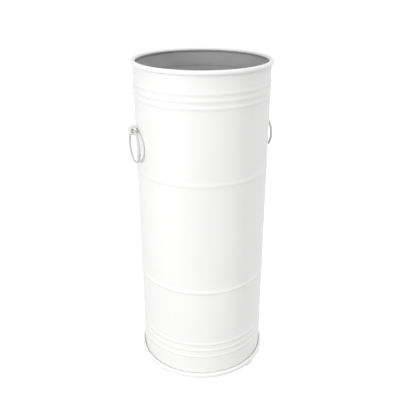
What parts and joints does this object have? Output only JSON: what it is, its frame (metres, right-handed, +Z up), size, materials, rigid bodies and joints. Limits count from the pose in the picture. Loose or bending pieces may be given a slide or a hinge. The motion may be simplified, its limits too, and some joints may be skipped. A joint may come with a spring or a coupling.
{
  "type": "umbrella stand",
  "caption": "Tall round umbrella stand of white painted sheet steel with rolled beads, a wired rim, a hemmed base on pads and drop ring handles.",
  "frame": {"origin": "on the floor, on the axis of the tube, under the middle of the base", "axes": "+Z up along the axis of the tube, +X towards the right-hand ring handle, +Y towards the back, where the folded seam is"},
  "size_m": [0.2246, 0.2056, 0.4866],
  "materials": {
    "painted_steel": "satin white powder coat on steel, thinner and greyer inside the tube",
    "steel_wire": "bright drawn wire",
    "plated_steel": "zinc plated",
    "seal_rubber": "matt",
    "pad_rubber": "matt off-white"
  },
  "bodies": {
    "stand": {"body_shell": "painted_steel", "rim_wire": "steel_wire", "base_pan": "painted_steel", "base_seal": "seal_rubber", "lug_left": "painted_steel", "lug_right": "painted_steel", "backing_plate_left": "plated_steel", "backing_plate_right": "plated_steel", "foot_pad_front_left": "pad_rubber", "foot_pad_front_right": "pad_rubber", "foot_pad_back_right": "pad_rubber", "foot_pad_back_left": "pad_rubber"},
    "left_handle": {"ring_left": "painted_steel"},
    "right_handle": {"ring_right": "painted_steel"}
  },
  "joints": [
    {"name": "left_handle_swing", "type": "hinge", "parent": "stand", "child": "left_handle", "pos_m": [-0.1047, 0, 0.3923], "axis": [0, 1, 0], "range_deg": [-5.5, 184]},
    {"name": "right_handle_swing", "type": "hinge", "parent": "stand", "child": "right_handle", "pos_m": [0.1047, 0, 0.3923], "axis": [0, -1, 0], "range_deg": [-5.5, 184]}
  ]
}
